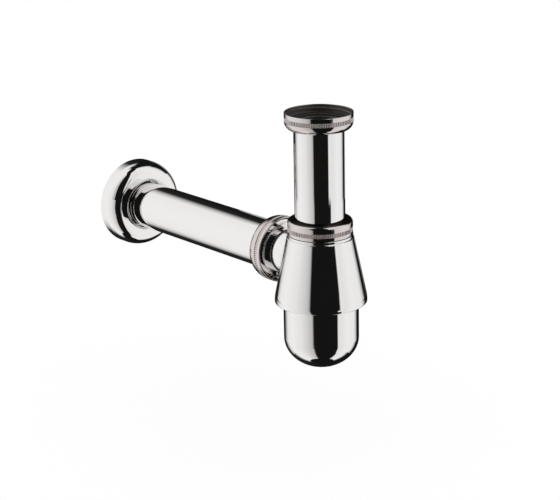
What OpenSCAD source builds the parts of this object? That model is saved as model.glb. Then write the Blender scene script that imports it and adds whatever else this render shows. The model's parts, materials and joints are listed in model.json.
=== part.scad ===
// Bottle trap for a washbasin: a tube from the basin dips into a round cup of
// water, and a branch at the side leads to the wall. All lengths in millimetres.
// The origin is the centre of the inlet nut's mouth, +Z is up, and the wall
// tube runs along +Y.

/* [Pipe] */
// Outside diameter of the inlet tube and the wall tube
pipe_d = 32; // [28:0.5:34]
// Wall of the tubes
pipe_wall = 1; // [0.8:0.1:1.5]
// Radial gap between a tube's flared end and the nut round it
flare_play = 0.4; // [0.3:0.1:1]
// Thickness of the flared end
flare_t = 0.9; // [0.8:0.1:1]

/* [Pipe thread] */
// Outside diameter of the male pipe thread
thread_d = 41.91; // [41.6:0.01:42.2]
// Advance of the pipe thread in one turn
thread_pitch = 2.309; // [1.5:0.001:2.5]
// Height of the pipe thread's ridges
thread_depth = 1.1; // [0.6:0.1:1.4]

/* [Coupling nuts] */
// Outside diameter of the inlet nut and the branch nut
nut_d = 43.4; // [43.2:0.1:48]
// Height of the inlet nut
nut_h = 11.1; // [11:0.1:16]
// Height of the branch nut
branch_nut_h = 13.5; // [13:0.1:16]
// How much farther the branch nut reaches over the branch
branch_nut_skirt = 1.5; // [0:0.1:2]
// Plain band between the inlet nut's open end and its knurl
nut_lip = 2.8; // [2:0.1:2.8]
// Plain band between the open ends of the two other nuts and their knurls
low_nut_lip = 2.2; // [2:0.1:2.8]
// Width of the knurled bands
knurl_w = 2.7; // [2:0.1:2.8]
// Depth of the knurl
knurl_depth = 0.3; // [0.2:0.05:0.4]
// Number of ribs around a knurl
knurl_ribs = 96; // [60:6:120]
// Depth from the inlet nut's open end to the shoulder inside it
nut_seat = 7.8; // [7.6:0.1:8]
// Depth of the threaded bore from a nut's open end
nut_bore_h = 4.8; // [4.7:0.1:4.9]

/* [Body nut] */
// How far the neck's thread lies inside the size of the pipe thread
neck_inset = 1.2; // [1.2:0.05:1.3]
// Wall of the body nut round the neck's thread
body_nut_wall = 1.05; // [0.95:0.05:1.2]
// Height of the body nut
body_nut_h = 9.7; // [9.2:0.1:12]
// Width of the body nut's rounded shoulder
body_nut_round_w = 3; // [2:0.1:3.5]
// Height of the body nut's rounded shoulder
body_nut_round_h = 2.2; // [1:0.1:2.5]
// Advance of the neck's thread in one turn
neck_pitch = 1.5; // [1:0.1:1.5]
// Height of the neck thread's ridges
neck_thread_depth = 0.8; // [0.5:0.1:0.9]

/* [Seals] */
// Thickness of the slip ring under each nut's shoulder
slip_t = 0.6; // [0.5:0.1:0.7]
// Thickness of the flat gaskets at the two flared ends
gasket_t = 1.3; // [1:0.1:1.4]
// Height of the tapered seal's head above the neck
seal_head = 1.5; // [1:0.1:2]
// Depth of the tapered seal's cone inside the neck
seal_cone = 3.2; // [2:0.1:4]
// Thickness of the gasket above the cup
cup_gasket_t = 1.5; // [1:0.1:2]

/* [Bottle] */
// Drop from the inlet's mouth to the axis of the branch
outlet_drop = 97.5; // [90:0.5:140]
// Height of the bottle's top above the branch axis
bottle_rise = 17.3; // [16.4:0.1:20]
// Depth of the bottle's lower edge below the branch axis
bottle_fall = 26; // [25:0.5:40]
// Outside diameter of the bottle at its top
bottle_top_d = 42.8; // [42.6:0.1:48]
// How far the bottle's lower edge stands out past the cup
bottle_step = 5.45; // [5.2:0.05:10]
// Height of the straight band at the bottle's lower edge
bottle_band_h = 3; // [2:0.1:6]
// Wall of the bottle
bottle_wall = 1.2; // [1:0.1:1.5]
// Radius of the bottle's outer corners
bottle_round = 0.8; // [0.4:0.1:1]
// Height of the neck's ring below the body nut
neck_ring_h = 1.6; // [1:0.1:3]
// How far the neck's ring stands out past the body nut
neck_ring_step = 0.2; // [0:0.1:0.3]

/* [Cup] */
// Outside diameter of the cup
cup_d = 48.4; // [48:0.1:52]
// Wall of the cup
cup_wall = 1.2; // [1:0.1:1.4]
// Straight side of the cup below the bottle's edge
cup_side_h = 24.3; // [20:0.1:50]
// Height of the cup's rounded bottom
cup_dome_h = 19.7; // [16:0.1:24]
// How far the cup's thread lies inside the cup's outside
cup_thread_inset = 0.5; // [0.4:0.1:0.7]
// Advance of the cup's thread in one turn
cup_pitch = 1.5; // [1:0.1:2]
// Height of the cup thread's ridges
cup_thread_depth = 0.7; // [0.4:0.1:0.9]
// Wall of the cup's threaded collar, ridges included
cup_collar_wall = 2; // [1.8:0.1:2.5]
// Depth of the cup's collar inside the cup
cup_collar_skirt = 4; // [3:0.5:6]
// Height of the threaded ring in the bottle's lower edge
socket_h = 9; // [8.5:0.5:12]
// Thickness of the lip at the top of the threaded ring
socket_lip = 1.5; // [1:0.1:2]

/* [Inlet tube] */
// Depth of the inlet tube's lower end below the branch axis
dip_depth = 58; // [40:0.5:60]

/* [Branch and wall tube] */
// Outside diameter of the branch
branch_d = 31; // [28:0.1:31]
// Distance from the bottle's axis to the back of the branch's threaded collar
branch_reach = 36.7; // [36:0.1:60]
// Distance from the bottle's axis to the wall
wall_reach = 198.5; // [150:1:300]
// Length of the wall tube behind the wall's face
wall_tail = 14; // [10:1:60]
// Width of the groove around the wall tube at the wall's face
tail_groove_w = 1; // [0.8:0.1:1.5]
// Depth of that groove
tail_groove_depth = 0.3; // [0.25:0.05:0.4]
// Outside diameter of the rosette
rosette_d = 61; // [60:0.1:80]
// Depth of the rosette
rosette_h = 16.3; // [14:0.1:20]
// Depth of the rosette's straight side at the wall
rosette_side_h = 6; // [4:0.5:8]
// Width of the rosette's flat face
rosette_face_w = 3.1; // [1:0.1:5]
// Radius of the rosette's rolled-in lip at the tube
rosette_lip_r = 3.6; // [2:0.1:4]
// Wall of the rosette
rosette_wall = 0.8; // [0.6:0.1:1.2]

/* [Hidden] */
$fn = 96;

// Radial clearance of a screw thread in its bore
thread_play = 0.05;
// Radial clearance of a seal on its tube
seal_play = 0.05;
// Clearance of a piece that passes another without touching
free_play = 0.3;
// Gap between a tightened nut and the shoulder behind it
nut_gap = 0.3;
// Gap between the tightened cup's edge and the bottle's foot
cup_gap = 0.2;
// How far a male thread stops short of the end of its bore
thread_short = 0.1;
// Width of the flat rim round the neck's cone
neck_rim = 0.9;
// Radial clearance of the inlet tube in the neck
neck_play = 0.5;
// Wall of the neck's spigot in the bottle's top
neck_spigot_t = 2;
// Clearance between the tapered seal and the neck's cone
seal_gap = 0.15;
// How far a gasket reaches in past its tube's outside
gasket_lap = 0.5;
// How much narrower a nut's bore is behind its thread, to leave metal under the dome
relief_step = 0.8;
// Chamfer at a nut's open end
nut_edge = 0.3;
// The domes' arcs stop here, in degrees, and leave a narrow flat round the hole.
dome_end = 78;
// How far a knurl's ribs lie below the nut's outside
knurl_sink = 0.05;
// Corner radius inside the bottle's top
inner_corner = 0.2;
// Wall and length of the hub behind the branch's collar
branch_hub_t = 2.9;
branch_hub_l = 2.7;
// Thickness of the collar's web in front of the branch's end
branch_web = 1.8;
// Steps of a quarter turn in a rounded profile
arc_steps = 8;

pipe_r = pipe_d / 2;
pipe_bore_r = pipe_r - pipe_wall;
hole_r = pipe_r + free_play;
thread_r = thread_d / 2;
thread_root_r = thread_r - thread_depth;
nut_r = nut_d / 2;
nut_bore_r = thread_r + thread_play;
nut_relief_r = nut_bore_r - relief_step;
flare_r = nut_relief_r - flare_play;
slip_r = nut_relief_r - free_play;
gasket_bore_r = pipe_r - gasket_lap;

neck_thread_r = thread_r - neck_inset;
neck_thread_root_r = neck_thread_r - neck_thread_depth;
body_nut_r = neck_thread_r + body_nut_wall;
body_nut_bore_r = neck_thread_r + thread_play;
body_slip_r = body_nut_bore_r - relief_step - free_play;
neck_ring_r = body_nut_r + neck_ring_step;

// Places along a coupling, measured from the inlet and body nuts' open end, or
// from the back of the branch's collar, towards the nut's dome.
slip_s = nut_seat - slip_t;
flare_s = slip_s - flare_t;
flare_mouth_s = flare_s - gasket_t;
neck_mouth_s = slip_s - seal_head;
thread_end_s = nut_bore_h - thread_short;

bottle_top_z = bottle_rise - outlet_drop;
bottle_low_z = -bottle_fall - outlet_drop;
bottle_top_r = bottle_top_d / 2;
bottle_low_r = cup_d / 2 + bottle_step;
bottle_bore_r = bottle_low_r - bottle_wall;
neck_bore_r = pipe_r + neck_play;
neck_cone_r = neck_thread_root_r - neck_rim;
bottle_hole_r = neck_bore_r + neck_spigot_t;
// The neck's ring and its foot, from the body nut's open end.
neck_ring_s = -nut_gap - neck_ring_h;
neck_foot_s = neck_ring_s - bottle_wall;
body_nut_z = bottle_top_z - neck_ring_s;

branch_r = branch_d / 2;
branch_bore_r = branch_r - pipe_wall;
branch_hub_r = branch_r + branch_hub_t;
branch_stop_s = flare_mouth_s - branch_web;

cup_r = cup_d / 2;
cup_bore_r = cup_r - cup_wall;
cup_thread_r = cup_r - cup_thread_inset;
cup_thread_root_r = cup_thread_r - cup_thread_depth;
cup_collar_bore_r = cup_thread_r - cup_collar_wall;
socket_bore_r = cup_thread_r + thread_play;
socket_lip_z = bottle_low_z + socket_h - socket_lip;
cup_gasket_z = socket_lip_z - cup_gasket_t;
cup_edge_z = bottle_low_z - cup_gap;
cup_dome_z = bottle_low_z - cup_side_h;

rosette_r = rosette_d / 2;
// The rest of the rosette's width and depth is its rounded edge.
rosette_edge_w = rosette_r - hole_r - rosette_lip_r - rosette_face_w;
rosette_edge_h = rosette_h - rosette_side_h;

chrome = "gainsboro";
plated = "silver";
rubber = "dimgray";
nylon = "ivory";

// Points along an ellipse's arc from angle a0 to angle a1.
function arc(cx, cy, rx, ry, a0, a1, steps = arc_steps) =
    [for (i = [0:steps]) let (a = a0 + (a1 - a0) * i / steps) [cx + rx * cos(a), cy + ry * sin(a)]];

// One ridge of a thread's outline, from height s.
function ridge(r, depth, pitch, s) =
    [[r - depth, s + pitch * 0.1], [r, s + pitch * 0.4], [r, s + pitch * 0.6], [r - depth, s + pitch * 0.9]];

// A male thread's outline from height s0 up to s1, with as many whole ridges as fit.
function ridges(r, depth, pitch, s0, s1) =
    [for (i = [0:floor((s1 - s0) / pitch) - 1]) each ridge(r, depth, pitch, s0 + i * pitch)];

// A ring of rectangular section from height s0 to s1.
module ring(bore_r, outer_r, s0, s1) {
    rotate_extrude()
        translate([bore_r, s0])
            square([outer_r - bore_r, s1 - s0]);
}

// Puts a coupling's own axis, +Z, along the branch, from the back of its collar.
module on_branch() {
    translate([0, branch_reach, -outlet_drop])
        rotate([-90, 0, 0])
            children();
}

// Puts a coupling's own axis downwards from the inlet's mouth.
module on_inlet() {
    mirror([0, 0, 1])
        children();
}

// Puts a coupling on the bottle's neck, with its dome upwards.
module on_neck() {
    translate([0, 0, body_nut_z])
        children();
}

// The space around a knurled band: a disc less a star of fine ribs.
module knurl_cut(outer_r, start) {
    crest_r = outer_r - knurl_sink;
    translate([0, 0, start])
        linear_extrude(knurl_w)
            difference() {
                circle(outer_r + 1);
                polygon([for (i = [0:2 * knurl_ribs - 1])
                    let (a = 180 * i / knurl_ribs, r = i % 2 == 0 ? crest_r : crest_r - knurl_depth)
                    [r * cos(a), r * sin(a)]]);
            }
}

// A coupling nut: threaded bore, knurled band and a shoulder whose outline is
// given. It starts a skirt's length before the coupling's origin.
module coupling_nut(outer_r, bore_r, height, shoulder, lip, skirt = 0) {
    relief_r = bore_r - relief_step;
    difference() {
        rotate_extrude()
            polygon(concat(
                [[bore_r, -skirt], [outer_r - nut_edge, -skirt], [outer_r, nut_edge - skirt]],
                shoulder,
                [[hole_r, height], [hole_r, nut_seat], [relief_r, nut_seat],
                 [relief_r, nut_bore_h], [bore_r, nut_bore_h]]
            ));
        knurl_cut(outer_r, lip - skirt);
    }
}

// A nut for the pipe thread, domed from its knurl to its hole.
module pipe_nut(height, lip, skirt = 0) {
    dome_h = height - lip - knurl_w;
    dome = arc(hole_r, height - skirt - dome_h, nut_r - hole_r, dome_h, 0, dome_end);
    coupling_nut(nut_r, nut_bore_r, height - skirt, dome, lip, skirt);
}

// The hard ring that lets a nut turn without dragging the seal round.
module slip_ring(outer_r) {
    ring(hole_r, outer_r, slip_s, nut_seat);
}

// The flat gasket between a flared end and what it is pulled against.
module flat_gasket() {
    ring(gasket_bore_r, slip_r, flare_mouth_s, flare_s);
}

// A tube with a flared end under the nut's slip ring, reaching to end_s.
module flared_tube(end_s) {
    rotate_extrude()
        polygon([
            [pipe_bore_r, flare_s], [flare_r, flare_s], [flare_r, slip_s],
            [pipe_r, slip_s], [pipe_r, end_s], [pipe_bore_r, end_s]
        ]);
}

// The bottle's outline, t inside its outer face: a short straight band at the
// foot, then a cone up to a rounded shoulder.
function bottle_face(t, corner) = concat(
    [[bottle_low_r - t - corner, bottle_low_z], [bottle_low_r - t, bottle_low_z + corner]],
    [[bottle_low_r - t, bottle_low_z + bottle_band_h]],
    arc(bottle_top_r - t - corner, bottle_top_z - t - corner, corner, corner, 0, 90)
);

// The bottle's outside as one solid block.
module bottle_block() {
    rotate_extrude()
        polygon(concat([[0, bottle_low_z]], bottle_face(0, bottle_round), [[0, bottle_top_z]]));
}

// The bottle's inside as one solid block.
module bottle_space() {
    rotate_extrude()
        polygon(concat(
            [[0, bottle_low_z - 1], [bottle_bore_r, bottle_low_z - 1]],
            bottle_face(bottle_wall, inner_corner),
            [[0, bottle_top_z - bottle_wall]]
        ));
}

// The spun bottle, open at its foot, with holes for the neck and the branch.
module bottle_shell() {
    color(chrome)
        difference() {
            bottle_block();
            bottle_space();
            translate([0, 0, bottle_top_z - 2 * bottle_wall])
                cylinder(r = bottle_hole_r, h = 4 * bottle_wall);
            translate([0, 0, -outlet_drop])
                rotate([-90, 0, 0])
                    cylinder(r = branch_bore_r, h = bottle_low_r);
        }
}

// The threaded neck, brazed through the bottle's top.
module neck_collar() {
    color(plated)
        on_neck()
            rotate_extrude()
                polygon(concat(
                    [[neck_bore_r, neck_foot_s], [bottle_hole_r, neck_foot_s]],
                    [[bottle_hole_r, neck_ring_s], [neck_ring_r, neck_ring_s]],
                    [[neck_ring_r, -nut_gap], [neck_thread_root_r, -nut_gap]],
                    ridges(neck_thread_r, neck_thread_depth, neck_pitch, 0, thread_end_s),
                    [[neck_thread_root_r, neck_mouth_s], [neck_cone_r, neck_mouth_s]],
                    [[neck_bore_r, neck_mouth_s - seal_cone - free_play]]
                ));
}

// The branch, saddle-cut to the bottle's side and brazed there.
module branch_tube() {
    color(chrome)
        difference() {
            on_branch()
                ring(branch_bore_r, branch_r, -branch_reach, branch_stop_s);
            bottle_block();
        }
}

// The threaded collar brazed onto the branch's end.
module branch_collar() {
    color(plated)
        on_branch()
            rotate_extrude()
                polygon(concat(
                    [[branch_r, -branch_hub_l], [branch_hub_r, -branch_hub_l]],
                    [[branch_hub_r, 0], [thread_root_r, 0]],
                    ridges(thread_r, thread_depth, thread_pitch, 0, thread_end_s),
                    [[thread_root_r, flare_mouth_s], [branch_bore_r, flare_mouth_s]],
                    [[branch_bore_r, branch_stop_s], [branch_r, branch_stop_s]]
                ));
}

module branch_gasket() {
    color(rubber)
        on_branch()
            flat_gasket();
}

// The threaded ring brazed inside the bottle's foot, with a lip for the gasket.
module cup_socket() {
    color(plated)
        difference() {
            intersection() {
                ring(cup_collar_bore_r, bottle_bore_r, bottle_low_z, bottle_low_z + socket_h);
                bottle_space();
            }
            translate([0, 0, bottle_low_z - 1])
                cylinder(r = socket_bore_r, h = socket_lip_z - bottle_low_z + 1);
        }
}

// The tapered seal that grips the inlet tube in the neck.
module tube_seal() {
    color(rubber)
        on_neck()
            rotate_extrude()
                polygon([
                    [pipe_r + seal_play, neck_mouth_s - seal_cone],
                    [neck_bore_r, neck_mouth_s - seal_cone],
                    [neck_cone_r - seal_gap, neck_mouth_s],
                    [body_slip_r, neck_mouth_s],
                    [body_slip_r, slip_s],
                    [pipe_r + seal_play, slip_s]
                ]);
}

module inlet_tube() {
    color(chrome)
        on_inlet()
            flared_tube(outlet_drop + dip_depth);
}

module inlet_gasket() {
    color(rubber)
        on_inlet()
            flat_gasket();
}

module inlet_slip_ring() {
    color(nylon)
        on_inlet()
            slip_ring(slip_r);
}

module inlet_nut() {
    color(chrome)
        on_inlet()
            pipe_nut(nut_h, nut_lip);
}

module body_slip_ring() {
    color(nylon)
        on_neck()
            slip_ring(body_slip_r);
}

// The body nut, whose shoulder is flat with a rounded edge.
module body_nut() {
    edge_s = body_nut_h - body_nut_round_h;
    shoulder = arc(body_nut_r - body_nut_round_w, edge_s, body_nut_round_w, body_nut_round_h, 0, 90);
    color(chrome)
        on_neck()
            coupling_nut(body_nut_r, body_nut_bore_r, body_nut_h, shoulder, low_nut_lip);
}

module branch_slip_ring() {
    color(nylon)
        on_branch()
            slip_ring(slip_r);
}

module branch_nut() {
    color(chrome)
        on_branch()
            pipe_nut(branch_nut_h, low_nut_lip, branch_nut_skirt);
}

// The tube to the wall, with a shallow groove where it enters the wall's drain.
module wall_tube() {
    groove_s = wall_reach - branch_reach;
    color(chrome)
        on_branch()
            difference() {
                flared_tube(groove_s + wall_tail);
                ring(pipe_r - tail_groove_depth, pipe_r + 1, groove_s, groove_s + tail_groove_w);
            }
}

// Half of the rosette's section, t inside its outer face; heights run from its
// front towards the wall.
function rosette_face(t) = concat(
    [[rosette_r - t, rosette_h]],
    arc(rosette_r - rosette_edge_w, rosette_edge_h, rosette_edge_w - t, rosette_edge_h - t, 0, -90),
    arc(hole_r + rosette_lip_r, rosette_lip_r, rosette_lip_r - t, rosette_lip_r - t, -90, -180)
);

// The cover plate on the wall: a deep rounded ring with a rolled-in lip at the tube.
module rosette() {
    outer = rosette_face(0);
    inner = rosette_face(rosette_wall);
    color(chrome)
        translate([0, wall_reach - rosette_h, -outlet_drop])
            rotate([-90, 0, 0])
                rotate_extrude()
                    polygon(concat(outer, [for (i = [len(inner) - 1:-1:0]) inner[i]]));
}

// The gasket that the cup's rim presses under the socket's lip.
module cup_gasket() {
    color(rubber)
        ring(cup_collar_bore_r, cup_thread_r - free_play, cup_gasket_z, socket_lip_z);
}

// The threaded collar brazed into the cup's mouth.
module cup_collar() {
    skirt_z = cup_edge_z - cup_collar_skirt;
    color(plated)
        rotate_extrude()
            polygon(concat(
                [[cup_collar_bore_r, skirt_z], [cup_bore_r, skirt_z]],
                [[cup_bore_r, cup_edge_z], [cup_thread_root_r, cup_edge_z]],
                ridges(cup_thread_r, cup_thread_depth, cup_pitch, cup_edge_z, cup_gasket_z),
                [[cup_thread_root_r, cup_gasket_z], [cup_collar_bore_r, cup_gasket_z]]
            ));
}

// The cup's outline, t inside its outer face.
function cup_face(t) = concat(
    [[cup_r - t, cup_edge_z]],
    arc(0, cup_dome_z, cup_r - t, cup_dome_h - t, 0, -90, 2 * arc_steps)
);

// The round-bottomed cup that unscrews for cleaning.
module cup_shell() {
    outer = cup_face(0);
    inner = cup_face(cup_wall);
    color(chrome)
        rotate_extrude()
            polygon(concat(outer, [for (i = [len(inner) - 1:-1:0]) inner[i]]));
}

bottle_shell();
neck_collar();
branch_tube();
branch_collar();
branch_gasket();
cup_socket();
tube_seal();
inlet_tube();
inlet_gasket();
inlet_slip_ring();
inlet_nut();
body_slip_ring();
body_nut();
branch_slip_ring();
branch_nut();
wall_tube();
rosette();
cup_gasket();
cup_collar();
cup_shell();
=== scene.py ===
"""A chromed bottle trap for a washbasin, dressed over its CAD frame and shown
in a white studio with a light tent. Every length is in metres."""

import json
import math

import bmesh
import bpy
from mathutils import Matrix, Vector


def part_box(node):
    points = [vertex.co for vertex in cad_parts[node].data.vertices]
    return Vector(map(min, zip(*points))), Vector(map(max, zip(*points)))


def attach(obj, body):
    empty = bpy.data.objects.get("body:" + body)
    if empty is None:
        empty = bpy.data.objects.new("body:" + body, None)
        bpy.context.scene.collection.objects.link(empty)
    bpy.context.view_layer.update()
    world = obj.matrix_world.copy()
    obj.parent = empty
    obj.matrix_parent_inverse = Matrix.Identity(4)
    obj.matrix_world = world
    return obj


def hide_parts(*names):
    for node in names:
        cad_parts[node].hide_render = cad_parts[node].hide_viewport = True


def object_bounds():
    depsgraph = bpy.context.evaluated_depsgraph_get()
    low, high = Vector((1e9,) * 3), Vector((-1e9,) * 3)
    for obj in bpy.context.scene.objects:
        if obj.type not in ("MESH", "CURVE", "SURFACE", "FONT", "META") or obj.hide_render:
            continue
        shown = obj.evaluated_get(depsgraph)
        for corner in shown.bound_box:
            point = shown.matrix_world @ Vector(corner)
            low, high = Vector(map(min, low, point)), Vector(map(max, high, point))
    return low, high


bl_info = {
    "name": "Bottle Trap",
    "version": (1, 0, 0),
    "blender": (4, 2, 0),
    "location": "View3D > Sidebar > Bottle Trap",
    "description": "Dresses a chromed bottle trap and sets it in a photographer's studio",
    "category": "Object",
}

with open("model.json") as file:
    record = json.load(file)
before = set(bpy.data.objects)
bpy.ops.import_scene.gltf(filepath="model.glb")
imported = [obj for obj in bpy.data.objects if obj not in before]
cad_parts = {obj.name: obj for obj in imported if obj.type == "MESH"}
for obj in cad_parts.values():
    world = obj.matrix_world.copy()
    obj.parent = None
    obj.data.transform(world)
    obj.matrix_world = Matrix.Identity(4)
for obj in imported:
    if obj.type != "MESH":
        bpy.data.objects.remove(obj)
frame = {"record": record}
CAD_BOX = [list(corner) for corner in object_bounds()]
BODY_OF = {
    node: body
    for body, nodes in frame["record"]["behaviour"]["bodies"].items()
    for node in nodes
}


# ---------------------------------------------------------------- the frame

BOXES = {node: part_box(node) for node in BODY_OF}


def reach(node, line):
    """Where a CAD node begins and ends along a line."""
    start, along = line
    return sorted((corner - start).dot(along) for corner in BOXES[node])


def radius_of(node):
    """A turned CAD node's radius. Every turned node is centred on x = 0."""
    return BOXES[node][1].x


INLET_MOUTH = Vector((0, 0, BOXES["inlet_nut"][1].z))
BODY_NUT_FOOT = Vector((0, 0, BOXES["body_nut"][0].z))
BOTTLE_FOOT = Vector((0, 0, BOXES["bottle_shell"][0].z))
CUP_MOUTH = Vector((0, 0, BOXES["cup_shell"][1].z))
BRANCH_MOUTH = Vector((0, BOXES["branch_nut"][0].y, sum(c.z for c in BOXES["branch_nut"]) / 2))
ROSETTE_FRONT = Vector((0, BOXES["rosette"][0].y, BRANCH_MOUTH.z))
UP, DOWN, TO_WALL = Vector((0, 0, 1)), Vector((0, 0, -1)), Vector((0, 1, 0))

# Each line starts at a nut's open end, a foot or a mouth, and runs through the piece.
INLET = (INLET_MOUTH, DOWN)
NECK = (BODY_NUT_FOOT, UP)
BRANCH = (BRANCH_MOUTH, TO_WALL)
BOTTLE = (BOTTLE_FOOT, UP)
CUP = (CUP_MOUTH, DOWN)
ROSETTE = (ROSETTE_FRONT, TO_WALL)


# ---------------------------------------------------------------- the settings

def length(name, description, default):
    return bpy.props.FloatProperty(name=name, description=description, default=default,
                                   min=0.0, precision=5, unit="LENGTH")


def angle(name, description, degrees):
    return bpy.props.FloatProperty(name=name, description=description,
                                   default=math.radians(degrees), subtype="ANGLE")


def linear(code):
    """Turns an sRGB hex colour to the linear values that shaders take."""
    parts = [int(code[i:i + 2], 16) / 255 for i in (1, 3, 5)]
    return [p / 12.92 if p <= 0.04045 else ((p + 0.055) / 1.055) ** 2.4 for p in parts]


def colour(name, description, code):
    return bpy.props.FloatVectorProperty(name=name, description=description, size=3,
                                         default=linear(code), min=0.0, max=1.0, subtype="COLOR")


class CouplingSizes(bpy.types.PropertyGroup):
    pipe: length("Pipe", "Outside diameter of the inlet and wall tubes", 0.032)
    wall: length("Pipe wall", "Wall of the tubes", 0.001)
    thread: length("Thread", "Outside diameter of the couplings' male thread", 0.04191)
    thread_depth: length("Thread depth", "Height of the coupling thread's ridge", 0.0011)
    pitch: length("Pitch", "Distance between the coupling thread's turns", 0.002309)
    lip: length("Inlet lip", "Plain lip at the inlet nut's open end", 0.0028)
    low_lip: length("Lip", "Plain lip at the two other nuts' open ends", 0.0022)
    knurl: length("Knurl", "Width of a nut's knurled band", 0.0027)
    knurl_depth: length("Knurl depth", "Depth of the grooves between the ribs", 0.0003)
    ribs: bpy.props.IntProperty(name="Ribs", description="Ribs round a nut", default=96, min=12)
    bore: length("Bore depth", "Length of a nut's threaded bore", 0.0048)
    seat: length("Seat", "Distance from a nut's open end to its slip ring's seat", 0.0078)
    relief: length("Relief", "How much narrower a nut is between its thread and its seat", 0.0008)
    skirt: length("Skirt", "How much farther the branch nut reaches over its collar", 0.0015)
    hub: length("Hub", "Wall of the branch collar's plain hub", 0.0029)
    # How far the band of painted shade on the body nut's end face reaches down.
    painted_shade: length("Dull end", "How far the body nut's unbuffed end face reaches down", 0.0006)
    play: length("Play", "Radial clearance of a nut's hole on its tube", 0.0003)


class NeckSizes(bpy.types.PropertyGroup):
    thread: length("Thread", "Outside diameter of the neck's male thread", 0.03951)
    thread_depth: length("Thread depth", "Height of the neck thread's ridge", 0.0008)
    pitch: length("Pitch", "Distance between the neck thread's turns", 0.0015)
    round_wide: length("Rounding width", "Width of the body nut's rounded shoulder", 0.003)
    round_high: length("Rounding height", "Height of the body nut's rounded shoulder", 0.0022)


class BottleSizes(bpy.types.PropertyGroup):
    shoulder: length("Shoulder", "Diameter of the bottle's top", 0.0428)
    band: length("Band", "Height of the straight band at the bottle's foot", 0.003)
    wall: length("Wall", "Wall of the bottle and the cup", 0.0012)
    round: length("Rounding", "Rounding of the bottle's shoulder", 0.0008)
    branch: length("Branch", "Outside diameter of the branch", 0.031)
    dome: length("Dome", "Depth of the cup's round bottom", 0.0197)
    cup_pitch: length("Cup pitch", "Distance between the cup thread's turns", 0.0015)
    cup_thread_depth: length("Cup thread depth", "Height of the cup thread's ridge", 0.0007)


class RosetteSizes(bpy.types.PropertyGroup):
    side: length("Side", "Depth of the rosette's straight side", 0.006)
    face: length("Face", "Width of the rosette's flat face", 0.0031)
    lip: length("Lip", "Radius of the rolled-in lip at the tube", 0.0036)
    wall: length("Wall", "Wall of the rosette", 0.0008)


class Finishes(bpy.types.PropertyGroup):
    chrome: colour("Chrome", "Polished chrome plate", "#E8E6E5")
    nut: colour("Nut", "Chrome plate on the coupling nuts", "#D2CCC9")
    knurl: colour("Knurl", "Chrome on the knurled bands", "#C8BDBA")
    # The end face colour is painted shade: dark grey for the shadow where the body nut meets the
    # tube.
    face: colour("End face", "The body nut's end face, which is turned and left dull", "#4A4847")
    plate: colour("Plate", "Nickel plate on threads", "#B8B0A4")
    # The inside colour is partly the metal's own tone and partly painted shade for the deep bores.
    inside: colour("Inside", "Brass inside the tubes and nuts, under a flash of nickel", "#787471")
    rubber: colour("Rubber", "Black moulded rubber", "#1C1C1D")
    nylon: colour("Nylon", "Natural moulded nylon", "#E9E3D3")


class Studio(bpy.types.PropertyGroup):
    turn: angle("Turn", "How far the camera stands round the trap's axis", -40.7587)
    tilt: angle("Tilt", "How far the camera looks down", 17.892)
    roll: angle("Roll", "How far the camera leans to its side", -1.1948)
    distance: length("Distance", "From the camera to the point that it looks at", 1.04662)
    lens: bpy.props.FloatProperty(name="Lens", description="Focal length in millimetres",
                                  default=102.94, min=10.0)
    below: length("Floor", "How far the floor lies below the cup", 0.06)
    tent: length("Tent", "From the trap's axis to the light tent's wall", 2.5)
    light: bpy.props.FloatProperty(name="Tent light", description="Strength of the tent's light",
                                   default=1.06, min=0.0)


# ---------------------------------------------------------------- modelling

# How far a piece's edges are rounded, from a keen edge to a soft one.
KEEN, FINE, SOFT = 0.0001, 0.0002, 0.0003

# A hair's breadth keeps two surfaces that meet from lying in one place.
HAIR = 0.00005

# How deep a thread's ridge is rooted in the metal under it.
ROOTED = 0.0002

# Lengths that differ by less than this are the same, and so are nearer points.
SAME, SAME_POINT = 1e-6, 1e-7


def fresh():
    """Leaves nothing selected, so that an operator acts on the new piece alone."""
    bpy.ops.object.select_all(action="DESELECT")


def edit(select="VERT"):
    bpy.ops.object.mode_set(mode="EDIT")
    bpy.ops.mesh.select_mode(type=select)


def pick(piece, wanted):
    """Selects the vertices whose place satisfies a test, in edit mode."""
    mesh = bmesh.from_edit_mesh(piece.data)
    bpy.ops.mesh.select_all(action="DESELECT")
    for vertex in mesh.verts:
        vertex.select_set(wanted(vertex.co))
    mesh.select_flush_mode()
    bmesh.update_edit_mesh(piece.data)


def arc(radius, place, width, height, first, last, steps=16):
    """Corners along an ellipse's arc about (radius, place), angles in degrees."""
    turns = [math.radians(first + (last - first) * i / steps) for i in range(steps + 1)]
    return [(radius + width * math.cos(t), place + height * math.sin(t)) for t in turns]


def turned(name, line, corners, steps=192, sweep=math.tau, across=Vector((1, 0, 0))):
    """Turns an outline round a line, as on a lathe. A corner is its radius and
    its place along the line, and a third number rounds it over that length."""
    start, along = line
    points = [start + along * corner[1] + across * corner[0] for corner in corners]
    fresh()
    bpy.ops.mesh.primitive_plane_add(size=0.001)
    piece = bpy.context.object
    piece.name = name
    edit()
    bpy.ops.mesh.merge(type="CENTER")
    bpy.ops.transform.translate(value=points[0])
    for here, there in zip(points, points[1:]):
        bpy.ops.mesh.extrude_region_move(TRANSFORM_OT_translate={"value": there - here})
    bpy.ops.mesh.select_all(action="SELECT")
    bpy.ops.mesh.remove_doubles(threshold=SAME_POINT)
    roundings = sorted({corner[2] for corner in corners if len(corner) > 2})
    for rounding in roundings:
        ends = [p for p, corner in zip(points, corners) if corner[2:] == (rounding,)]
        pick(piece, lambda place: any((place - end).length < SAME_POINT for end in ends))
        bpy.ops.mesh.bevel(offset=rounding, segments=5, affect="VERTICES", profile=0.5)
    bpy.ops.mesh.select_all(action="SELECT")
    bpy.ops.mesh.spin(steps=steps, angle=-sweep, center=start, axis=along)
    bpy.ops.mesh.select_all(action="SELECT")
    bpy.ops.mesh.remove_doubles(threshold=SAME)
    bpy.ops.mesh.normals_make_consistent(inside=False)
    bpy.ops.object.mode_set(mode="OBJECT")
    return piece


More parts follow.
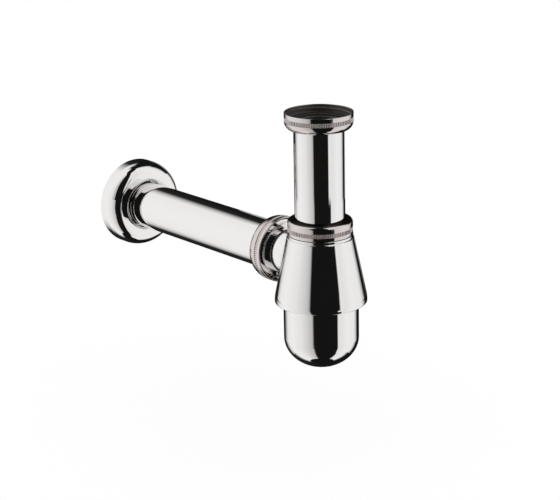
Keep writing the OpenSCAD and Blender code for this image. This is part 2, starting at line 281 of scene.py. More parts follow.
def thread(piece, line, root, crest, first, last, pitch, foot, tip, begin=0.0, steps=96):
    """Adds a right-hand thread's ridge to a piece, from first to last along its
    line. Foot and tip are the ridge's widths at root and crest. A crest smaller
    than the root makes a nut's thread. Begin is the angle at which the ridge
    starts, and it runs out at both ends."""
    start, along = line
    axis = max(range(3), key=lambda i: abs(along[i]))
    low = along * (first if along[axis] > 0 else last)
    forward = Vector([float(i == axis) for i in range(3)])
    turns = (last - first) / pitch
    buried = root - math.copysign(ROOTED, crest - root)
    fresh()
    bpy.ops.mesh.primitive_circle_add(vertices=4, radius=0.001, fill_type="NOTHING")
    ridge = bpy.context.object
    corners = [(buried, -foot / 2), (crest, -tip / 2), (crest, tip / 2), (buried, foot / 2)]
    across = Matrix.Rotation(begin, 3, forward) @ Vector((1, 0, 0))
    for vertex, (radius, place) in zip(ridge.data.vertices, corners):
        vertex.co = low + forward * place + across * radius
    ridge.location = start
    screw = ridge.modifiers.new("Thread", "SCREW")
    screw.axis = "XYZ"[axis]
    screw.screw_offset = last - first
    screw.angle = math.tau * turns
    screw.steps = screw.render_steps = round(steps * turns)
    bpy.ops.object.modifier_apply(modifier=screw.name)
    rings = len(ridge.data.vertices) // 4
    for vertex in ridge.data.vertices:
        ring = vertex.index // 4
        height = min(1.0, 4 * ring / steps, 4 * (rings - 1 - ring) / steps)
        centre = forward * vertex.co.dot(forward)
        out = vertex.co - centre
        if abs(out.length - crest) < SAME:
            vertex.co = centre + out.normalized() * (buried + (crest - buried) * max(height, 0.05))
    bpy.ops.object.transform_apply()
    edit("EDGE")
    bpy.ops.mesh.select_all(action="DESELECT")
    bpy.ops.mesh.select_non_manifold()
    bpy.ops.mesh.fill_holes(sides=0)
    bpy.ops.mesh.select_all(action="SELECT")
    bpy.ops.mesh.normals_make_consistent(inside=False)
    bpy.ops.object.mode_set(mode="OBJECT")
    fresh()
    ridge.select_set(True)
    piece.select_set(True)
    bpy.context.view_layer.objects.active = piece
    bpy.ops.object.join()


def male_thread(piece, line, root, crest, first, last, pitch):
    """A thread round the outside, whose ridge fills most of its pitch."""
    thread(piece, line, root, crest, first, last, pitch, 0.8 * pitch, 0.2 * pitch)


def female_thread(piece, line, root, crest, first, last, pitch):
    """A thread in a bore. It begins half a turn on, between the male thread's turns."""
    thread(piece, line, root, crest, first, last, pitch, 0.7 * pitch, 0.16 * pitch,
           begin=math.pi)


def smooth(piece, degrees=30):
    """Smooths a piece's shading up to its real edges, led by its larger faces."""
    fresh()
    piece.select_set(True)
    bpy.context.view_layer.objects.active = piece
    bpy.ops.object.shade_smooth_by_angle(angle=math.radians(degrees))
    weighted = piece.modifiers.new("Shading", "WEIGHTED_NORMAL")
    weighted.keep_sharp = True
    bpy.ops.object.modifier_apply(modifier=weighted.name)


def along_and_out(place, line):
    """How far a place lies along a line, and its offset straight out from it."""
    start, along = line
    far = (place - start).dot(along)
    return far, place - start - along * far


MADE = {}


def paint(piece, context, finishes, chosen=lambda face: 0):
    """Gives each face the finish that a test picks by its number. A finish is made
    once, and all the pieces share it."""
    for finish in finishes:
        if finish not in MADE:
            MADE[finish] = finish(context.scene.trap_finishes)
        piece.data.materials.append(MADE[finish])
    for face in piece.data.polygons:
        face.material_index = chosen(face)


def inward(line):
    """A test for the faces that look in towards a line, and not just along it."""
    def looks_in(face):
        out = along_and_out(face.center, line)[1].normalized()
        return int(face.normal.dot(out) < -0.2)

    return looks_in


def dress(piece, node):
    """Puts a finished piece in its CAD node's place, on that node's body."""
    smooth(piece)
    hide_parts(node)
    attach(piece, BODY_OF[node])


# ---------------------------------------------------------------- materials

def node(tree, kind, links=None, **settings):
    """Adds a node. Settings are its properties or its inputs' values, links its inputs."""
    made = tree.nodes.new(kind)
    for name, value in settings.items():
        if hasattr(made, name):
            setattr(made, name, value)
        else:
            made.inputs[name.replace("_", " ")].default_value = value
    for name, source in (links or {}).items():
        tree.links.new(source, made.inputs[name])
    return made


def new_material(name):
    """An empty material with its node tree and its Principled BSDF."""
    material = bpy.data.materials.new(name)
    material.use_nodes = True
    tree = material.node_tree
    return material, tree, tree.nodes["Principled BSDF"]


def set_up(shader, tree, links, **values):
    """Sets a shader's own sockets, and links what varies over the surface."""
    for name, value in values.items():
        shader.inputs[name.replace("_", " ")].default_value = value
    for name, source in links.items():
        tree.links.new(source, shader.inputs[name])


def buffed(name, tone, low, high):
    """Chrome plate that was buffed, with a tone and the range of its roughness.
    Reflections waver where the buffing wheel passed, and soften where hands have
    touched it."""
    material, tree, shader = new_material(name)
    place = node(tree, "ShaderNodeTexCoord").outputs["Object"]
    # Buffing leaves shallow waves some 7 mm across, a few thousandths deep.
    waves = node(tree, "ShaderNodeTexNoise", {"Vector": place}, Scale=140.0, Detail=1.0)
    bump = node(tree, "ShaderNodeBump", {"Height": waves.outputs["Fac"]},
                Strength=1.0, Distance=0.000006)
    # Touch marks are some 12 mm across.
    touch = node(tree, "ShaderNodeTexNoise", {"Vector": place}, Scale=80.0, Detail=6.0,
                 Roughness=0.6)
    rough = node(tree, "ShaderNodeMapRange", {"Value": touch.outputs["Fac"]},
                 From_Min=0.35, From_Max=0.75, To_Min=low, To_Max=high)
    set_up(shader, tree, {"Roughness": rough.outputs["Result"], "Normal": bump.outputs["Normal"]},
           Base_Color=(*tone, 1), Metallic=1.0)
    return material


def mirror_chrome(finishes):
    """Chrome plate on brass that was spun, then polished. It is a clear mirror, a
    little warm."""
    return buffed("mirror_chrome", finishes.chrome, 0.02, 0.06)


def nut_chrome(finishes):
    """Chrome plate on turned brass, which gets less of the wheel than the tubes. It
    is a softer, greyer mirror."""
    return buffed("nut_chrome", finishes.nut, 0.06, 0.11)


def knurled_chrome(finishes):
    """Chrome plate on the pressed knurl of a nut. The ribs throw the light about,
    so the band looks like a soft grey blur of what the metal beside it mirrors."""
    material, tree, shader = new_material("knurled_chrome")
    place = node(tree, "ShaderNodeTexCoord").outputs["Object"]
    # The grain of the pressed metal, 0.4 mm, as fine as can still show.
    grain = node(tree, "ShaderNodeTexNoise", {"Vector": place}, Scale=2500.0, Detail=2.0)
    rough = node(tree, "ShaderNodeMapRange", {"Value": grain.outputs["Fac"]},
                 From_Min=0.3, From_Max=0.7, To_Min=0.18, To_Max=0.34)
    bump = node(tree, "ShaderNodeBump", {"Height": grain.outputs["Fac"]},
                Strength=0.4, Distance=0.00003)
    set_up(shader, tree, {"Roughness": rough.outputs["Result"], "Normal": bump.outputs["Normal"]},
           Base_Color=(*finishes.knurl, 1), Metallic=1.0)
    return material


def painted_shade_face(finishes):
    """A nut's end face beside the tube, rough with the fine marks of the turning tool. Its dark
    grey colour and dimmed reflection are painted shade, a dark, dull ring for the shadow there."""
    material, tree, shader = new_material("painted_shade_face")
    place = node(tree, "ShaderNodeTexCoord").outputs["Object"]
    # Tool marks run from 1.2 mm down to 0.3 mm.
    marks = node(tree, "ShaderNodeTexNoise", {"Vector": place}, Scale=800.0, Detail=2.0)
    rough = node(tree, "ShaderNodeMapRange", {"Value": marks.outputs["Fac"]},
                 From_Min=0.3, From_Max=0.7, To_Min=0.3, To_Max=0.4)
    set_up(shader, tree, {"Roughness": rough.outputs["Result"]},
           Base_Color=(*finishes.face, 1), Metallic=1.0, Specular_Tint=(0.3, 0.3, 0.3, 1))
    return material


def nickel_plate(finishes):
    """Thin nickel plate on turned brass, as on threads. It is left unbuffed, so it
    looks satin, with the fine marks of the turning tool."""
    material, tree, shader = new_material("nickel_plate")
    place = node(tree, "ShaderNodeTexCoord").outputs["Object"]
    # Tool marks run from 1.1 mm down to 0.15 mm, and stains are some 9 mm across.
    marks = node(tree, "ShaderNodeTexNoise", {"Vector": place}, Scale=900.0, Detail=3.0)
    stain = node(tree, "ShaderNodeTexNoise", {"Vector": place}, Scale=110.0, Detail=5.0)
    tint = node(tree, "ShaderNodeMix", {"Factor": stain.outputs["Fac"]}, data_type="RGBA")
    tint.inputs["A"].default_value = (*[c * 0.82 for c in finishes.plate], 1)
    tint.inputs["B"].default_value = (*finishes.plate, 1)
    rough = node(tree, "ShaderNodeMapRange", {"Value": marks.outputs["Fac"]},
                 From_Min=0.3, From_Max=0.7, To_Min=0.24, To_Max=0.4)
    bump = node(tree, "ShaderNodeBump", {"Height": marks.outputs["Fac"]},
                Strength=0.5, Distance=0.00002)
    set_up(shader, tree,
           {"Base Color": tint.outputs["Result"], "Roughness": rough.outputs["Result"],
            "Normal": bump.outputs["Normal"]}, Metallic=1.0)
    return material


def dull_and_shaded_inside(finishes):
    """The inside of a brass tube or nut, where the plating bath leaves only a thin flash of
    nickel. It is dull, with soft blotches; its dark grey is partly its own tone, partly painted
    shade."""
    material, tree, shader = new_material("dull_and_shaded_inside")
    place = node(tree, "ShaderNodeTexCoord").outputs["Object"]
    # The blotches are some 3 mm wide.
    blotches = node(tree, "ShaderNodeTexNoise", {"Vector": place}, Scale=330.0, Detail=4.0)
    rough = node(tree, "ShaderNodeMapRange", {"Value": blotches.outputs["Fac"]},
                 From_Min=0.3, From_Max=0.7, To_Min=0.5, To_Max=0.62)
    set_up(shader, tree, {"Roughness": rough.outputs["Result"]},
           Base_Color=(*finishes.inside, 1), Metallic=1.0)
    return material


def moulded_rubber(finishes):
    """Nitrile rubber from a steel mould. It is matt and almost black, with a
    faint grey bloom and the fine texture of the mould."""
    material, tree, shader = new_material("moulded_rubber")
    place = node(tree, "ShaderNodeTexCoord").outputs["Object"]
    # The mould's texture is some 0.5 mm, the bloom some 5 mm.
    grit = node(tree, "ShaderNodeTexNoise", {"Vector": place}, Scale=2000.0, Detail=2.0)
    bloom = node(tree, "ShaderNodeTexNoise", {"Vector": place}, Scale=200.0, Detail=4.0)
    tint = node(tree, "ShaderNodeMix", {"Factor": bloom.outputs["Fac"]}, data_type="RGBA")
    tint.inputs["A"].default_value = (*finishes.rubber, 1)
    tint.inputs["B"].default_value = (*[min(1, c * 1.9) for c in finishes.rubber], 1)
    bump = node(tree, "ShaderNodeBump", {"Height": grit.outputs["Fac"]},
                Strength=0.6, Distance=0.00004)
    set_up(shader, tree, {"Base Color": tint.outputs["Result"], "Normal": bump.outputs["Normal"]},
           Roughness=0.62, IOR=1.52)
    return material


def moulded_nylon(finishes):
    """Natural nylon from a mould. It is creamy white and slightly waxy, and lets a
    little light in."""
    material, tree, shader = new_material("moulded_nylon")
    place = node(tree, "ShaderNodeTexCoord").outputs["Object"]
    # Flow marks of the moulding are some 4 mm wide.
    flow = node(tree, "ShaderNodeTexNoise", {"Vector": place}, Scale=250.0, Detail=3.0)
    tint = node(tree, "ShaderNodeMix", {"Factor": flow.outputs["Fac"]}, data_type="RGBA")
    tint.inputs["A"].default_value = (*[c * 0.93 for c in finishes.nylon], 1)
    tint.inputs["B"].default_value = (*finishes.nylon, 1)
    rough = node(tree, "ShaderNodeMapRange", {"Value": flow.outputs["Fac"]},
                 From_Min=0.3, From_Max=0.7, To_Min=0.35, To_Max=0.5)
    set_up(shader, tree, {"Base Color": tint.outputs["Result"],
                          "Roughness": rough.outputs["Result"]},
           IOR=1.53, Subsurface_Weight=0.1, Subsurface_Scale=0.002)
    return material


# ---------------------------------------------------------------- the pieces

# Walls and thicknesses: the branch, the neck in the bottle's top, a tube's flared end
# and the braze bead's radius.
BRANCH_WALL, NECK_WALL, FLARE, BEAD = 0.001, 0.002, 0.0009, 0.0008

# Clearances: the neck on the inlet tube, the couplings' threads, the cup's thread, and
# the neck's ring below the body nut.
NECK_PLAY, THREAD_PLAY, CUP_PLAY, RING_GAP = 0.0005, 0.00025, 0.0002, 0.0003

# The plain stretch between the cup's thread and its gasket.
RUN_OUT = 0.0015


def coupling_nut(context, name, line, thread_sizes, lip, shoulder, skirt=0.0, painted_shade=0.0):
    """A nut with a plain lip, a knurled band, a shoulder and its thread. Its skirt
    reaches past the male thread that it turns on. Its end face may carry a band of painted shade."""
    sizes = context.scene.trap_coupling
    outside, height = radius_of(name), reach(name, line)[1]
    hole = sizes.pipe / 2 + sizes.play
    bore = thread_sizes.thread / 2 + HAIR
    relief = bore - sizes.relief
    seat, bore_end, band_end = sizes.seat + skirt, sizes.bore + skirt, lip + sizes.knurl
    crest = outside - HAIR
    corners = [
        (bore, 0, FINE), (outside, 0, SOFT), (outside, lip), (crest, lip),
        (crest, band_end), (outside, band_end), *shoulder, (hole, height), (hole, seat),
        (relief, seat), (relief, bore_end), (bore, bore_end), (bore, 0)
    ]
    piece = turned(name + ".finished", line, corners, steps=4 * sizes.ribs)
    start, along = line
    other = along.cross(Vector((1, 0, 0)))

    def in_groove(place):
        far, out = along_and_out(place, line)
        step = round(math.atan2(out.dot(other), out.x) / math.tau * 4 * sizes.ribs)
        in_band = lip - SAME < far < band_end + SAME
        # A rib and the groove beside it take two steps each.
        return in_band and abs(out.length - crest) < SAME and step % 4 > 1

    edit()
    pick(piece, in_groove)
    shrink = 1 - sizes.knurl_depth / crest
    bpy.ops.transform.resize(value=[1 if abs(a) > 0.5 else shrink for a in along],
                             center_override=start)
    bpy.ops.object.mode_set(mode="OBJECT")
    pitch = thread_sizes.pitch
    ridge = thread_sizes.thread / 2 - thread_sizes.thread_depth + THREAD_PLAY
    female_thread(piece, line, bore, ridge, 0.36 * pitch, bore_end - 0.36 * pitch, pitch)

    def finish(face):
        far, out = along_and_out(face.center, line)
        if out.length > relief and lip < far < band_end:
            return 1
        # Painted shade: a dark band on the end face, where the nut meets the tube.
        if painted_shade and far > height - painted_shade:
            return 3
        # The nut's bore takes the inside finish, darkened in part as painted shade.
        return 2 if out.length < bore and far < seat + SAME else 0

    paint(piece, context, [nut_chrome, knurled_chrome, dull_and_shaded_inside, painted_shade_face], finish)
    dress(piece, name)


class TRAP_OT_nuts(bpy.types.Operator):
    """Turns the three coupling nuts, with their knurled bands and threads"""
    bl_idname = "trap.nuts"
    bl_label = "Coupling nuts"

    def execute(self, context):
        sizes, neck = context.scene.trap_coupling, context.scene.trap_neck
        hole = sizes.pipe / 2 + sizes.play
        for name, line, lip, skirt in (("inlet_nut", INLET, sizes.lip, 0),
                                       ("branch_nut", BRANCH, sizes.low_lip, sizes.skirt)):
            band_end = lip + sizes.knurl
            dome = arc(hole, band_end, radius_of(name) - hole,
                       reach(name, line)[1] - band_end, 0, 78)
            coupling_nut(context, name, line, sizes, lip, dome, skirt)
        wide, high = neck.round_wide, neck.round_high
        shoulder = arc(radius_of("body_nut") - wide, reach("body_nut", NECK)[1] - high,
                       wide, high, 0, 90)
        coupling_nut(context, "body_nut", NECK, neck, sizes.low_lip, shoulder, painted_shade=sizes.painted_shade)
        return {"FINISHED"}


def washer(context, name, line, bore, rounding, finish):
    """A flat ring in its CAD node's place, with softened edges."""
    low, high = reach(name, line)
    outside = radius_of(name)
    corners = [(bore, low, rounding), (outside, low, rounding), (outside, high, rounding),
               (bore, high, rounding), (bore, low)]
    piece = turned(name + ".finished", line, corners, steps=128)
    paint(piece, context, [finish])
    dress(piece, name)


class TRAP_OT_rings(bpy.types.Operator):
    """Turns the slip rings, the flat gaskets and the cup's gasket"""
    bl_idname = "trap.rings"
    bl_label = "Slip rings and gaskets"

    def execute(self, context):
        coupling = context.scene.trap_coupling
        pipe = coupling.pipe / 2
        for name, line in (("inlet_slip_ring", INLET), ("body_slip_ring", NECK),
                           ("branch_slip_ring", BRANCH)):
            washer(context, name, line, pipe + coupling.play, 0.00015, moulded_nylon)
        for name, line in (("inlet_gasket", INLET), ("branch_gasket", BRANCH)):
            washer(context, name, line, pipe - 0.0005, SOFT, moulded_rubber)
        washer(context, "cup_gasket", BOTTLE, radius_of("cup_gasket") - 0.0017, SOFT,
               moulded_rubber)
        return {"FINISHED"}


class TRAP_OT_seal(bpy.types.Operator):
    """Turns the tapered seal that grips the inlet tube"""
    bl_idname = "trap.seal"
    bl_label = "Tube seal"

    def execute(self, context):
        low, high = reach("tube_seal", NECK)
        mouth = reach("neck_collar", NECK)[1]
        bore = context.scene.trap_coupling.pipe / 2 + HAIR
        outside = radius_of("tube_seal")
        corners = [(bore, low, KEEN), (bore + 0.0006, low, KEEN),
                   (outside - 0.0015, mouth), (outside, mouth, FINE),
                   (outside, high, SOFT), (bore, high, SOFT), (bore, low)]
        piece = turned("tube_seal.finished", NECK, corners, steps=128)
        paint(piece, context, [moulded_rubber])
        dress(piece, "tube_seal")
        return {"FINISHED"}


def cone_radius(sizes, place):
    """The bottle's outside radius at a distance up from its foot."""
    foot, top = radius_of("bottle_shell"), sizes.shoulder / 2
    height = reach("bottle_shell", BOTTLE)[1] - sizes.round
    share = (place - sizes.band) / (height - sizes.band)
    return foot - (foot - top) * min(max(share, 0), 1)


class TRAP_OT_bottle(bpy.types.Operator):
    """Spins the bottle and cuts its hole for the branch"""
    bl_idname = "trap.bottle"
    bl_label = "Bottle"

    def execute(self, context):
        sizes = context.scene.trap_bottle
        foot, height = radius_of("bottle_shell"), reach("bottle_shell", BOTTLE)[1]
        top, wall = sizes.shoulder / 2, sizes.wall
        hole = context.scene.trap_coupling.pipe / 2 + (NECK_PLAY + NECK_WALL)
        corners = [
            (foot - wall, 0, SOFT), (foot, 0, 0.0005), (foot, sizes.band, 0.002),
            (top, height, sizes.round), (hole, height), (hole, height - wall),
            (top - wall, height - wall, FINE), (foot - wall, sizes.band), (foot - wall, 0)
        ]
        piece = turned("bottle_shell.finished", BOTTLE, corners)
        bpy.ops.mesh.primitive_cylinder_add(
            vertices=96, radius=sizes.branch / 2 - BRANCH_WALL, depth=foot,
            location=(0, foot / 2 + 0.01, BRANCH_MOUTH.z), rotation=(math.pi / 2, 0, 0))
        drill = bpy.context.object
        cut = piece.modifiers.new("Branch hole", "BOOLEAN")
        cut.object = drill
        bpy.context.view_layer.objects.active = piece
        bpy.ops.object.modifier_apply(modifier=cut.name)
        bpy.data.objects.remove(drill)
        paint(piece, context, [mirror_chrome, nickel_plate], inward(BOTTLE))
        dress(piece, "bottle_shell")
        return {"FINISHED"}


class TRAP_OT_neck(bpy.types.Operator):
    """Turns the threaded neck in the bottle's top"""
    bl_idname = "trap.neck"
    bl_label = "Neck"

    def execute(self, context):
        sizes = context.scene.trap_neck
        low, high = reach("neck_collar", NECK)
        foot = low + context.scene.trap_bottle.wall
        ring = radius_of("neck_collar")
        bore = context.scene.trap_coupling.pipe / 2 + NECK_PLAY
        root = sizes.thread / 2 - sizes.thread_depth
        corners = [
            (bore, low), (bore + NECK_WALL, low), (bore + NECK_WALL, foot), (ring, foot, FINE),
            (ring, -RING_GAP, SOFT), (root, -RING_GAP), (root, high, SOFT),
            (root - 0.0009, high, FINE), (bore, high - 0.0035), (bore, low)
        ]
        piece = turned("neck_collar.finished", NECK, corners)
        male_thread(piece, NECK, root, sizes.thread / 2, 0.36 * sizes.pitch,
                    context.scene.trap_coupling.bore - 0.45 * sizes.pitch, sizes.pitch)
        # The ring between the bottle and the nut is buffed with the bottle.
        paint(piece, context, [nickel_plate, mirror_chrome],
              lambda face: int(along_and_out(face.center, NECK)[0] < -0.0002))
        dress(piece, "neck_collar")
        return {"FINISHED"}


class TRAP_OT_branch(bpy.types.Operator):
    """Makes the branch with its braze bead, and the threaded collar on its end"""
    bl_idname = "trap.branch"
    bl_label = "Branch"

    def execute(self, context):
        bottle, sizes = context.scene.trap_bottle, context.scene.trap_coupling
        outside, bore = bottle.branch / 2, bottle.branch / 2 - BRANCH_WALL
        middle = BRANCH_MOUTH.z

        def saddle(x, z):
            radius = cone_radius(bottle, z - BOTTLE_FOOT.z)
            return math.sqrt(radius * radius - x * x)

        low, high = reach("branch_tube", BRANCH)
        corners = [(bore, low), (outside, low), (outside, high), (bore, high), (bore, low)]
        piece = turned("branch_tube.finished", BRANCH, corners, steps=128)
        for vertex in piece.data.vertices:
            if vertex.co.y < BRANCH_MOUTH.y + low + 0.0001:
                vertex.co.y = saddle(vertex.co.x, vertex.co.z) - 0.0006
        fresh()
        bpy.ops.mesh.primitive_torus_add(
            major_segments=128, minor_segments=16, major_radius=outside, minor_radius=BEAD,
            location=(0, 0, middle), rotation=(math.pi / 2, 0, 0))
        bead = bpy.context.object
        bpy.ops.object.transform_apply()
        for vertex in bead.data.vertices:
            round_branch = Vector((vertex.co.x, 0, vertex.co.z - middle)).normalized() * outside
            vertex.co.y += saddle(round_branch.x, round_branch.z + middle)
        piece.select_set(True)
        bpy.context.view_layer.objects.active = piece
        bpy.ops.object.join()
        # The branch's inside takes the inside finish, darkened in part as painted shade.
        paint(piece, context, [mirror_chrome, dull_and_shaded_inside], inward(BRANCH))
        dress(piece, "branch_tube")

        low, high = reach("branch_collar", BRANCH)
        root = sizes.thread / 2 - sizes.thread_depth
        hub, stop, back = outside + sizes.hub, reach("branch_tube", BRANCH)[1], sizes.skirt
        corners = [
            (outside, low), (hub, low, 0.0004), (hub, back), (root, back, SOFT),
            (root, high, SOFT), (bore, high, FINE), (bore, stop), (outside, stop),
            (outside, low)
        ]
        piece = turned("branch_collar.finished", BRANCH, corners)
        male_thread(piece, BRANCH, root, sizes.thread / 2, back + 0.5 * sizes.pitch,
                    back + sizes.bore - 0.45 * sizes.pitch, sizes.pitch)
        # The hub and the collar's back are buffed with the branch.
        paint(piece, context, [nickel_plate, mirror_chrome],
              lambda face: int(along_and_out(face.center, BRANCH)[0] < back + 0.0001))
        dress(piece, "branch_collar")
        return {"FINISHED"}


class TRAP_OT_tubes(bpy.types.Operator):
    """Draws the inlet tube and the wall tube, each with a flared end"""
    bl_idname = "trap.tubes"
    bl_label = "Tubes"

    def execute(self, context):
        sizes = context.scene.trap_coupling
        outside, bore = sizes.pipe / 2, sizes.pipe / 2 - sizes.wall
        wall = BOXES["rosette"][1].y - BRANCH_MOUTH.y
        # A scored ring marks where the tube enters the wall.
        scored, wide = outside - 0.0003, 0.001
        groove = [(outside, wall), (scored, wall, KEEN), (scored, wall + wide, KEEN),
                  (outside, wall + wide)]
        for name, line, marks in (("inlet_tube", INLET, []), ("wall_tube", BRANCH, groove)):
            low, high = reach(name, line)
            flare = radius_of(name)
            corners = [
                (bore, low, 0.0006), (flare, low, FINE), (flare, low + FLARE, FINE),
                (outside, low + FLARE, KEEN), *marks, (outside, high, SOFT),
                (bore, high, SOFT), (bore, low)
            ]
            piece = turned(name + ".finished", line, corners)
            # A tube's inside takes the inside finish, darkened in part as painted shade.
            paint(piece, context, [mirror_chrome, dull_and_shaded_inside], inward(line))
            dress(piece, name)
        return {"FINISHED"}


class TRAP_OT_rosette(bpy.types.Operator):
    """Spins the rosette against the wall, with its rolled-in lip"""
    bl_idname = "trap.rosette"
    bl_label = "Rosette"

    def execute(self, context):
        sizes = context.scene.trap_rosette
        coupling = context.scene.trap_coupling
        outside, depth = radius_of("rosette"), reach("rosette", ROSETTE)[1]
        hole = coupling.pipe / 2 + coupling.play
        edge_wide = outside - hole - sizes.lip - sizes.face
        edge_deep = depth - sizes.side

        def skin(inset):
            return [
                (outside - inset, depth),
                *arc(outside - edge_wide, edge_deep, edge_wide - inset, edge_deep - inset,
                     0, -90, 24),
                *arc(hole + sizes.lip, sizes.lip, sizes.lip - inset, sizes.lip - inset,
                     -90, -180)
            ]

        corners = skin(0) + skin(sizes.wall)[::-1]
        piece = turned("rosette.finished", ROSETTE, corners + corners[:1])
        paint(piece, context, [mirror_chrome])
        dress(piece, "rosette")
        return {"FINISHED"}


class TRAP_OT_cup(bpy.types.Operator):
    """Spins the cup, and turns its threaded collar and the socket that takes it"""
    bl_idname = "trap.cup"
    bl_label = "Cup and socket"

    def execute(self, context):
        sizes = context.scene.trap_bottle
        outside, depth = radius_of("cup_shell"), reach("cup_shell", CUP)[1]
        inside, side = outside - sizes.wall, depth - sizes.dome
        corners = [
            (inside, 0, FINE), (outside, 0, SOFT),
            *arc(0, side, outside, sizes.dome, 0, 90, 40),
            *arc(0, side, inside, sizes.dome - sizes.wall, 90, 0, 40), (inside, 0)
        ]
        piece = turned("cup_shell.finished", CUP, corners)
        paint(piece, context, [mirror_chrome, nickel_plate], inward(CUP))
        dress(piece, "cup_shell")

        low, high = reach("cup_collar", BOTTLE)
        crest = radius_of("cup_collar")
        root, bore = crest - sizes.cup_thread_depth, crest - 0.002
        pitch = sizes.cup_pitch
        corners = [(bore, low, SOFT), (root, low), (root, high, FINE),
                   (bore, high, SOFT), (bore, low)]
        piece = turned("cup_collar.finished", BOTTLE, corners)
        male_thread(piece, BOTTLE, root, crest, 0.5 * pitch, high - 0.5 * pitch, pitch)
        paint(piece, context, [nickel_plate])
        dress(piece, "cup_collar")

        top, seat = reach("cup_socket", BOTTLE)[1], reach("cup_gasket", BOTTLE)[1]
        groove = crest + HAIR
        wide = radius_of("cup_socket")
        corners = [
            (groove, 0, SOFT), (wide, 0, FINE), (wide, sizes.band),
            (cone_radius(sizes, top) - sizes.wall - 0.0001, top, SOFT), (bore, top, SOFT),
            (bore, seat), (groove, seat), (groove, 0)
        ]
        piece = turned("cup_socket.finished", BOTTLE, corners)
        female_thread(piece, BOTTLE, groove, root + CUP_PLAY, 0.5 * pitch,
                      seat - RUN_OUT - 0.5 * pitch, pitch)
        paint(piece, context, [nickel_plate])
        dress(piece, "cup_socket")
        return {"FINISHED"}


# ---------------------------------------------------------------- the studio

# Black cloth sends back about a hundredth of the light.
BLACK = 0.008


def brightness(front, rear, edge=0.0, gap=BLACK):
    """How bright a sheet of the tent is all the way round, as azimuths and values.
    An azimuth counts from the camera's side to the picture's right. Front and rear
    are where the black cloths there begin and end, from left to right. The rear
    cloth may have a lighter gap."""
    soft = 3 + edge
    return [
        (-180, BLACK), (rear[1], 0.02), (rear[1] + 12, 0.6), (rear[1] + 24, 0.94), (-100, 1.0),
        (-66, 0.9), (-42, 0.7), (front[0] - 2 * soft, 0.57), (front[0] - soft, 0.42),
        (front[0], BLACK), (front[1], BLACK), (front[1] + soft, 0.92), (58, 0.88), (82, 0.98),
        (rear[0] - 20, 0.94), (rear[0] - 9, 0.6), (rear[0], BLACK), (rear[0] + 18, BLACK),
        (rear[0] + 30, gap),
    ]


def sheet(name, corners, marks):
    """A sheet of the light tent, turned round the trap's axis. Only reflections
    see it. A corner is its distance from the axis and its height."""
    turn = bpy.context.scene.trap_studio.turn
    piece = turned(name, (Vector(), UP), corners, steps=64)
    material, tree, shader = new_material(name)
    place = node(tree, "ShaderNodeTexCoord").outputs["Object"]
    around = node(tree, "ShaderNodeMapping", {"Vector": place})
    around.inputs["Rotation"].default_value = (0, 0, math.pi / 2 - turn)
    azimuth = node(tree, "ShaderNodeTexGradient", {"Vector": around.outputs["Vector"]},
                   gradient_type="RADIAL")
    ramp = node(tree, "ShaderNodeValToRGB", {"Fac": azimuth.outputs["Fac"]})
    stops = ramp.color_ramp.elements
    for index, (degrees, value) in enumerate(marks):
        stop = stops[index] if index < 2 else stops.new(1.0)
        stop.position, stop.color = 0.5 + degrees / 360, (value, value, value, 1)
    light = node(tree, "ShaderNodeEmission", {"Color": ramp.outputs["Color"]},
                 Strength=bpy.context.scene.trap_studio.light)
    tree.links.new(light.outputs["Emission"], tree.nodes["Material Output"].inputs["Surface"])
    tree.nodes.remove(shader)
    piece.data.materials.append(material)
    piece.visible_camera = piece.visible_diffuse = False
    piece.visible_shadow = piece.visible_transmission = False
    return piece


ALL_BLACK = [(-180, BLACK), (180, BLACK)]

# The tent is white cloth, with black cloths before the camera, behind the trap,
# overhead and below, which draw the dark bands on the chrome. A corner is its distance
# from the trap's axis and its height, both as shares of the tent's size.
TENT = (
    ("tent_below", [(0, -1), (0.32, -1)], ALL_BLACK),
    ("tent_low", [(0.32, -1), (1, -1)], brightness((-22, 51), (114, -132))),
    ("tent_foot", [(1, -1), (1, -0.45)], brightness((-22, 48), (129, -141))),
    ("tent_hem", [(1, -0.45), (1, -0.31)], brightness((-25, 48), (136, -146))),
    ("tent_skirt", [(1, -0.31), (1, -0.245)], brightness((-26.5, 38), (131, -137), gap=0.5)),
    ("tent_belt", [(1, -0.245), (1, -0.02)], brightness((-27.5, 44), (134, -148), gap=0.5)),
    ("tent_middle", [(1, -0.02), (1, 0.14)], brightness((-27.5, 45), (138, -149), gap=0.4)),
    ("tent_upper", [(1, 0.14), (1, 0.86)], brightness((-38, 26), (122, -162), 3)),
    ("tent_top", [(1, 0.86), (1, 1), (0.6, 1)], brightness((-38, 26), (128, -179), 3)),
    ("tent_roof", [(0.6, 1), (0.24, 1)], brightness((-38, 26), (128, -160), 3)),
    ("tent_overhead", [(0, 1), (0.24, 1)], ALL_BLACK),
)

# The point that the camera looks at, between the bottle and the wall.
AIM = Vector((0, 0.03927, -0.09889))


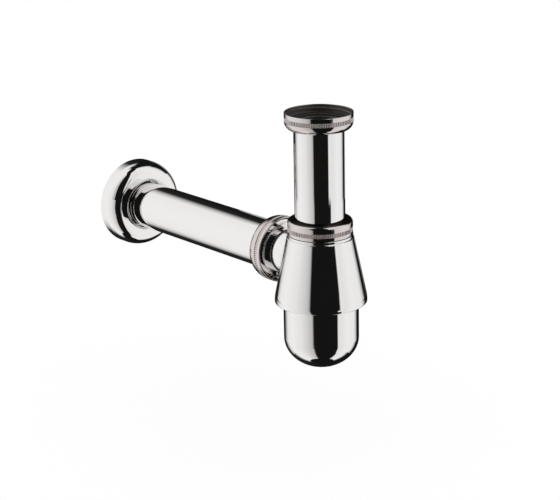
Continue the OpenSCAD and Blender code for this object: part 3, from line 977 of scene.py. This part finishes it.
class TRAP_OT_studio(bpy.types.Operator):
    """Sets up the floor, the white surroundings, the light tent and the camera"""
    bl_idname = "trap.studio"
    bl_label = "Studio"

    def execute(self, context):
        studio = context.scene.trap_studio
        context.scene.view_settings.view_transform = "Standard"
        ground = CAD_BOX[0][2] - studio.below

        fresh()
        bpy.ops.mesh.primitive_circle_add(vertices=96, radius=6.0, fill_type="NGON",
                                          location=(0, 0, ground))
        floor = bpy.context.object
        floor.name = "studio_floor"
        material, tree, shader = new_material("white_paper_floor")
        # Seamless white paper. Most of it glows white, so the shadow stays faint.
        glow = node(tree, "ShaderNodeEmission", Color=(1, 1, 1, 1), Strength=1.04)
        set_up(shader, tree, {}, Base_Color=(0.9, 0.9, 0.9, 1), Roughness=0.9)
        mix = node(tree, "ShaderNodeMixShader", Fac=0.75)
        tree.links.new(shader.outputs["BSDF"], mix.inputs[1])
        tree.links.new(glow.outputs["Emission"], mix.inputs[2])
        tree.links.new(mix.outputs["Shader"], tree.nodes["Material Output"].inputs["Surface"])
        floor.data.materials.append(material)
        floor.visible_glossy = False

        world = bpy.data.worlds.new("white_surroundings")
        world.use_nodes = True
        context.scene.world = world
        background = world.node_tree.nodes["Background"].inputs
        background["Color"].default_value = (1, 1, 1, 1)
        background["Strength"].default_value = 1.0

        far = studio.tent
        tent = [sheet(name, [(far * out, far * up) for out, up in corners], marks)
                for name, corners, marks in TENT]

        turn, tilt = studio.turn, studio.tilt
        eye = Matrix.Rotation(turn, 4, "Z") @ Matrix.Rotation(math.pi / 2 - tilt, 4, "X") \
            @ Matrix.Rotation(studio.roll, 4, "Z")
        bpy.ops.object.camera_add()
        camera = bpy.context.object
        camera.name = "camera"
        camera.matrix_world = Matrix.Translation(AIM + eye.col[2].to_3d() * studio.distance) @ eye
        camera.data.lens = studio.lens
        camera.data.sensor_width = 36.0
        camera.data.clip_start, camera.data.clip_end = 0.05, 50.0
        context.scene.camera = camera
        return {"FINISHED"}


# ---------------------------------------------------------------- the add-on

PIECES = (TRAP_OT_nuts, TRAP_OT_rings, TRAP_OT_seal, TRAP_OT_bottle, TRAP_OT_neck,
          TRAP_OT_branch, TRAP_OT_tubes, TRAP_OT_rosette, TRAP_OT_cup, TRAP_OT_studio)


class TRAP_PT_panel(bpy.types.Panel):
    bl_idname = "TRAP_PT_panel"
    bl_label = "Bottle Trap"
    bl_space_type = "VIEW_3D"
    bl_region_type = "UI"
    bl_category = "Bottle Trap"

    def draw(self, context):
        for group in SETTINGS:
            box = self.layout.box()
            settings = getattr(context.scene, group)
            for name in settings.bl_rna.properties.keys():
                if name not in ("rna_type", "name"):
                    box.prop(settings, name)
        for operator in PIECES:
            self.layout.operator(operator.bl_idname)


SETTINGS = {
    "trap_coupling": CouplingSizes,
    "trap_neck": NeckSizes,
    "trap_bottle": BottleSizes,
    "trap_rosette": RosetteSizes,
    "trap_finishes": Finishes,
    "trap_studio": Studio,
}


def register():
    for kind in (*SETTINGS.values(), *PIECES, TRAP_PT_panel):
        bpy.utils.register_class(kind)
    for name, kind in SETTINGS.items():
        setattr(bpy.types.Scene, name, bpy.props.PointerProperty(type=kind))


def unregister():
    for name in SETTINGS:
        delattr(bpy.types.Scene, name)
    for kind in (TRAP_PT_panel, *reversed(PIECES), *SETTINGS.values()):
        bpy.utils.unregister_class(kind)


def main():
    register()
    for operator in PIECES:
        getattr(bpy.ops.trap, operator.bl_idname.split(".")[1])()


if __name__ == "__main__":
    main()
